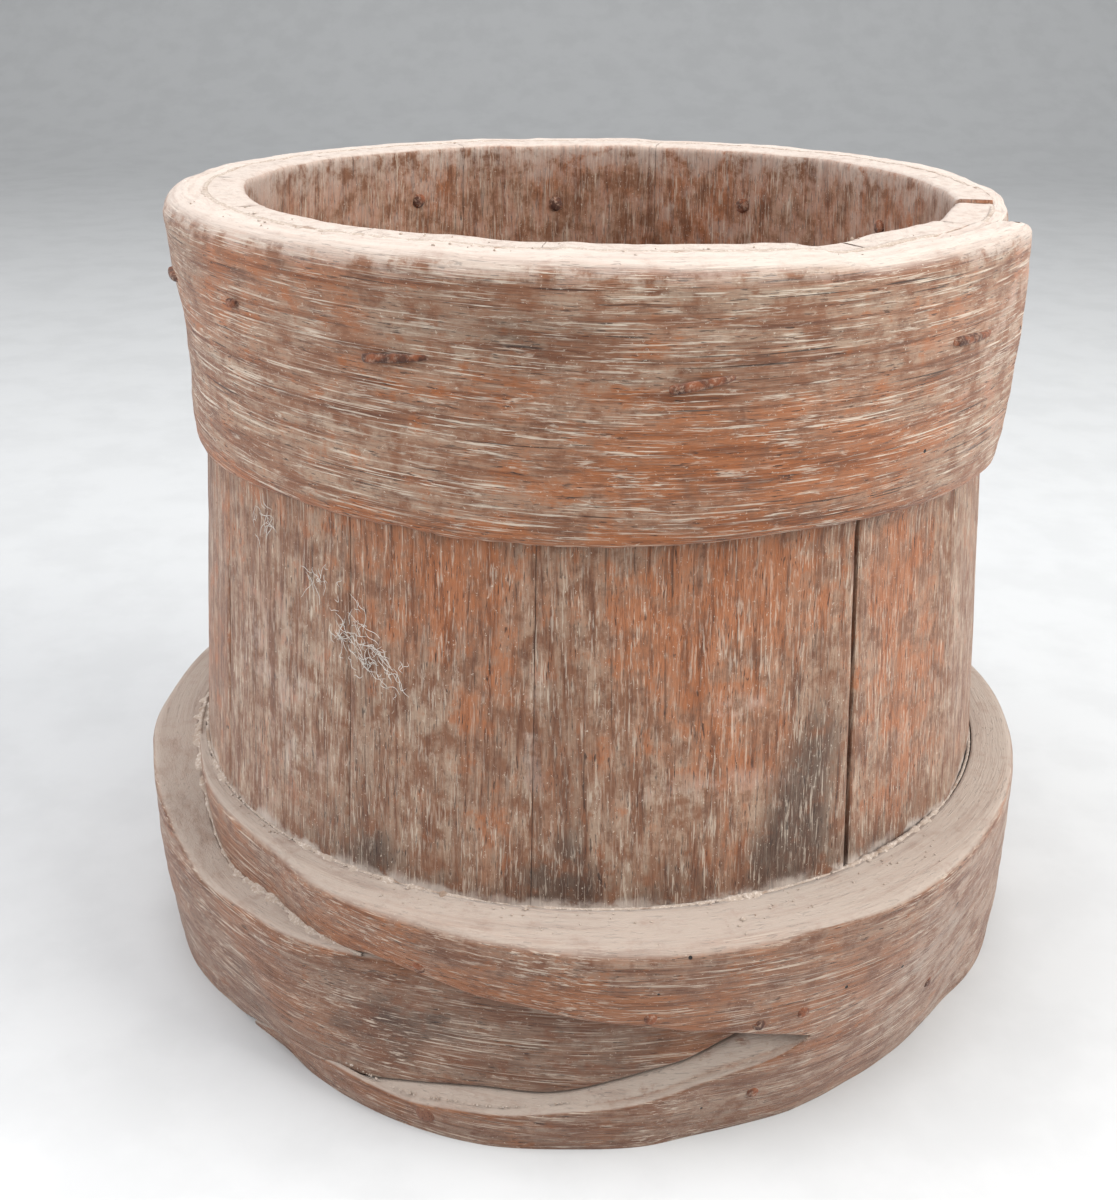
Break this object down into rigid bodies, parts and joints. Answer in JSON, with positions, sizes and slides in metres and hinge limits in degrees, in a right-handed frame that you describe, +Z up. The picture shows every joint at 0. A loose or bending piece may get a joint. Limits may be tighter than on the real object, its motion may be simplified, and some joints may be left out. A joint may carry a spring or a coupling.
{
  "type": "butter churn tub",
  "caption": "Round open wooden churn tub of tapered staves with a grooved-in bottom, a lapped riven hoop at the rim and a forked, interlocked riven hoop at the foot.",
  "frame": {"origin": "centre of the foot, on the surface the tub stands on", "axes": "+Z up through the open rim; -Y is the front, where the ends of the foot hoop interlock; +X is the side of the rim hoop's lap"},
  "size_m": [0.351, 0.351, 0.29],
  "materials": {
    "stave_oak": "matte, weathered, vertical grain",
    "hoop_oak": "matte, weathered, grain along the hoop",
    "head_oak": "matte, stained",
    "dowel_wood": "matte, end grain",
    "rusty_iron": "rusted"
  },
  "bodies": {
    "root": {"stave_01": "stave_oak", "stave_02": "stave_oak", "stave_03": "stave_oak", "stave_04": "stave_oak", "stave_05": "stave_oak", "stave_06": "stave_oak", "stave_07": "stave_oak", "stave_08": "stave_oak", "stave_09": "stave_oak", "stave_10": "stave_oak", "stave_11": "stave_oak", "stave_12": "stave_oak", "head_board_front": "head_oak", "head_board_middle": "head_oak", "head_board_back": "head_oak", "head_dowels": "dowel_wood", "rim_hoop": "hoop_oak", "rim_hoop_nails": "rusty_iron", "foot_hoop": "hoop_oak", "foot_hoop_nails": "rusty_iron", "foot_hoop_peg": "dowel_wood"}
  },
  "joints": []
}
